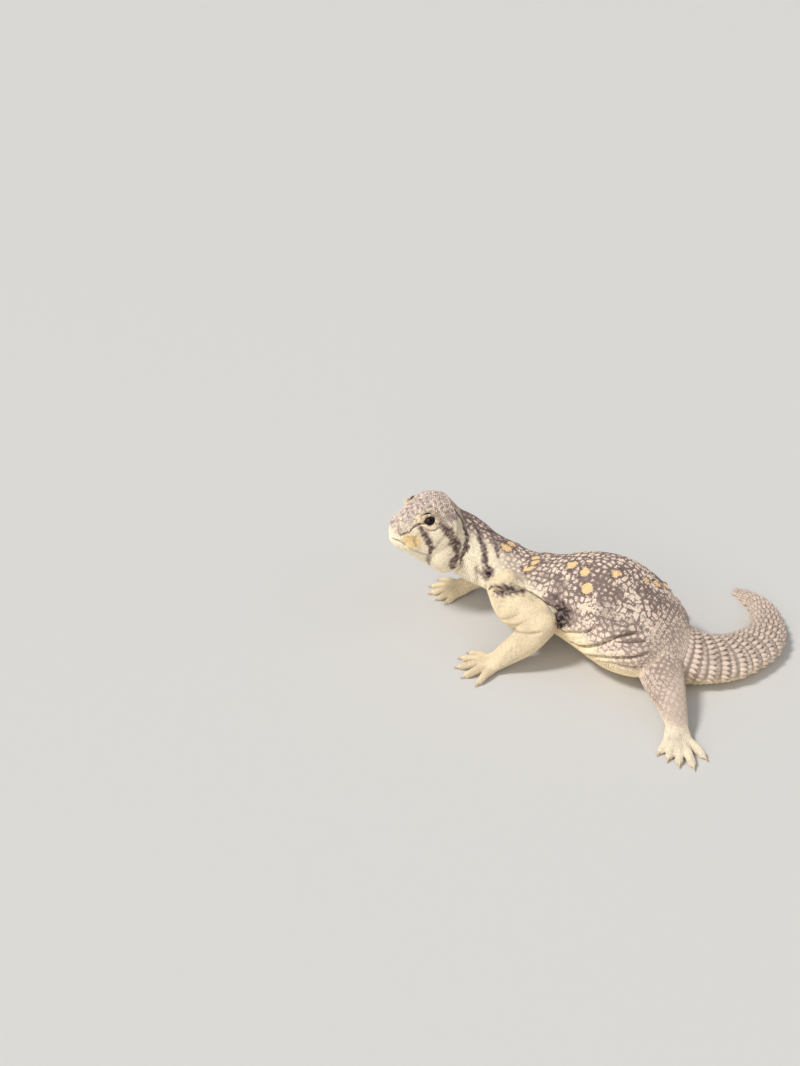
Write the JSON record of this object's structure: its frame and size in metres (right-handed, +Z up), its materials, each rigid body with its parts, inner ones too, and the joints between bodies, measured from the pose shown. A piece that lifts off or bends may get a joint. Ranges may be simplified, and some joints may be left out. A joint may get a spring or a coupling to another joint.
{
  "type": "ornate uromastyx lizard",
  "caption": "Still life-size model of a young spiny-tailed lizard propped on its forelegs, head raised and turned to its left, tail curved to its right.",
  "frame": {"origin": "on the floor, under the middle of the box that holds the whole animal", "axes": "+X towards the tail, so the head is at -X; +Y towards the animal's right; +Z up"},
  "size_m": [0.1464, 0.1182, 0.0505],
  "materials": {
    "skin": "matte, finely scaled",
    "tail": "matte, spiny",
    "eye": "wet gloss"
  },
  "bodies": {
    "root": {"head": "skin", "lower_jaw": "skin", "eye_left": "eye", "eye_right": "eye", "neck": "skin", "torso": "skin", "tail_root": "tail", "tail_middle": "tail", "tail_tip": "tail", "foreleg_left_upper": "skin", "foreleg_left_lower": "skin", "foreleg_left_foot": "skin", "foreleg_right_upper": "skin", "foreleg_right_lower": "skin", "foreleg_right_foot": "skin", "hindleg_left_upper": "skin", "hindleg_left_lower": "skin", "hindleg_left_foot": "skin", "hindleg_right_upper": "skin", "hindleg_right_lower": "skin", "hindleg_right_foot": "skin"}
  },
  "joints": []
}
